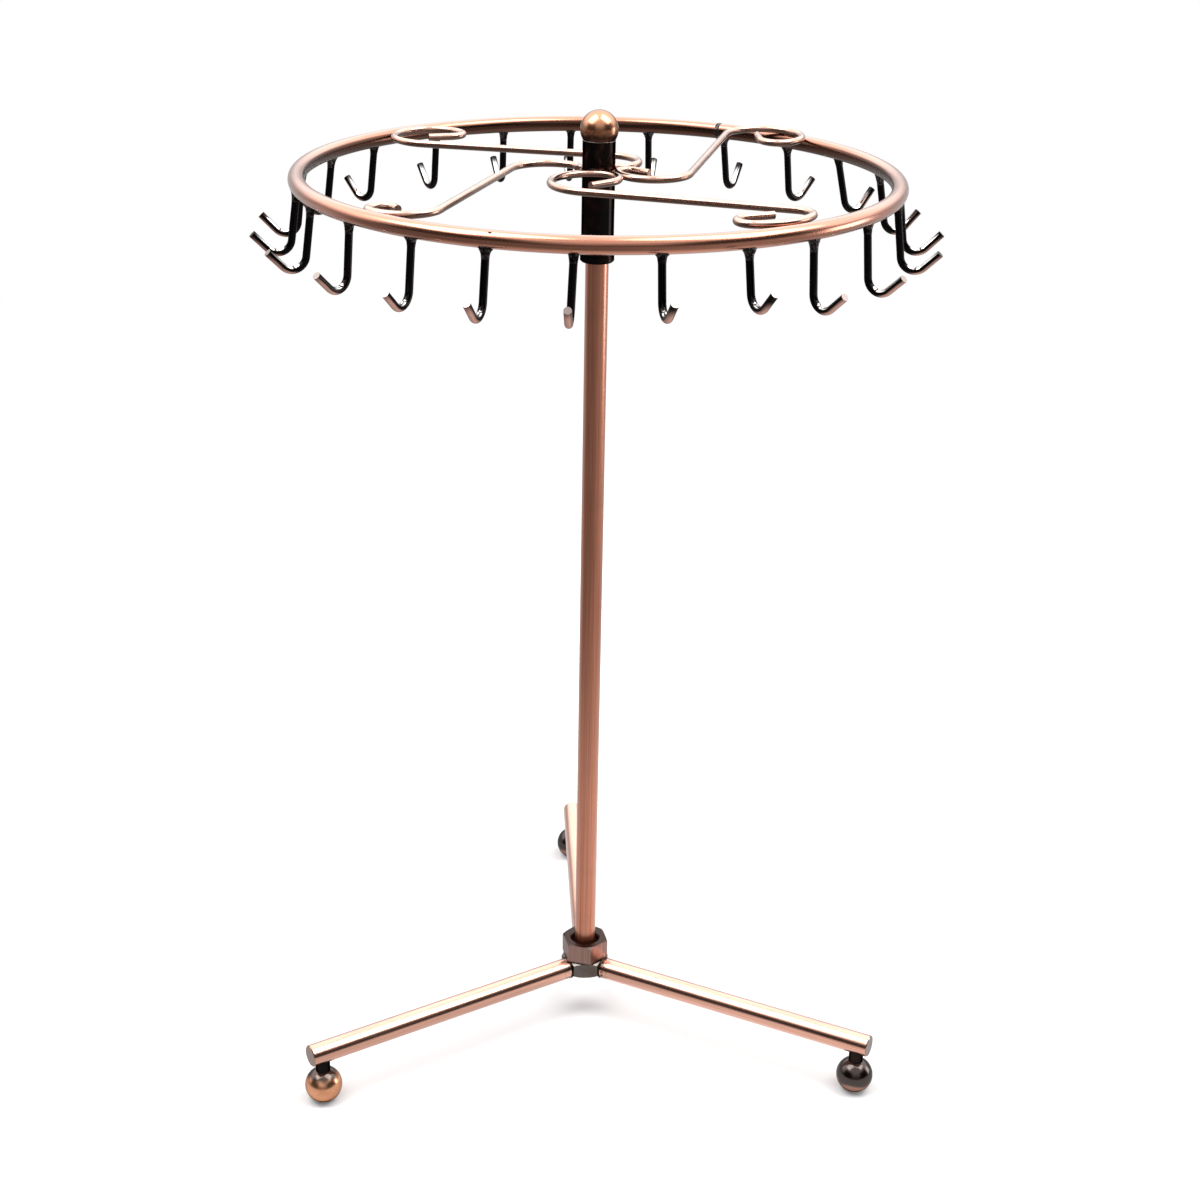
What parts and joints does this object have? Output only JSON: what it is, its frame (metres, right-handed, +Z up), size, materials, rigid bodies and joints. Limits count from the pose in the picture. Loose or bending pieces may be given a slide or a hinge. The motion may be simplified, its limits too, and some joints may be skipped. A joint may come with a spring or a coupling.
{
  "type": "rotating hook stand",
  "caption": "Turning hook carousel on a pole: a ring of small open wire hooks on scroll arms over a three-legged base with ball feet.",
  "frame": {"origin": "on the pole's axis, in the plane of the surface the three feet stand on", "axes": "+Z up along the pole, +Y along the rear leg, +X to the right when seen from the side opposite the rear leg"},
  "size_m": [0.2318, 0.238, 0.3555],
  "materials": {
    "antique_copper": "copper-plated steel, satin, darkened in the recesses",
    "dark_copper": "copper-plated steel, blackened and polished",
    "gunmetal_copper": "copper-plated steel, aged to gunmetal",
    "bearing_steel": "polished",
    "bush_bronze": "turned"
  },
  "bodies": {
    "base": {"base_hub": "gunmetal_copper", "lock_nut": "antique_copper", "pole": "antique_copper", "pivot_ball": "bearing_steel", "leg_rear": "antique_copper", "leg_left": "antique_copper", "leg_right": "antique_copper", "foot_stud_rear": "dark_copper", "foot_stud_left": "dark_copper", "foot_stud_right": "dark_copper", "foot_ball_rear": "gunmetal_copper", "foot_ball_left": "gunmetal_copper", "foot_ball_right": "gunmetal_copper"},
    "head": {"hub_sleeve": "dark_copper", "lower_bush": "dark_copper", "upper_bush": "bush_bronze", "thrust_cap": "bush_bronze", "finial": "antique_copper", "hook_ring": "antique_copper", "scroll_arm_front_right": "antique_copper", "scroll_arm_back_right": "antique_copper", "scroll_arm_back_left": "antique_copper", "scroll_arm_front_left": "antique_copper", "hook_01": "dark_copper", "hook_02": "dark_copper", "hook_03": "dark_copper", "hook_04": "dark_copper", "hook_05": "dark_copper", "hook_06": "dark_copper", "hook_07": "dark_copper", "hook_08": "dark_copper", "hook_09": "dark_copper", "hook_10": "dark_copper", "hook_11": "dark_copper", "hook_12": "dark_copper", "hook_13": "dark_copper", "hook_14": "dark_copper", "hook_15": "dark_copper", "hook_16": "dark_copper", "hook_17": "dark_copper", "hook_18": "dark_copper", "hook_19": "dark_copper", "hook_20": "dark_copper", "hook_21": "dark_copper", "hook_22": "dark_copper", "hook_23": "dark_copper"}
  },
  "joints": [
    {"name": "head_spin", "type": "hinge", "parent": "base", "child": "head", "pos_m": [0, 0, 0.3335], "axis": [0, 0, 1], "continuous": true}
  ]
}
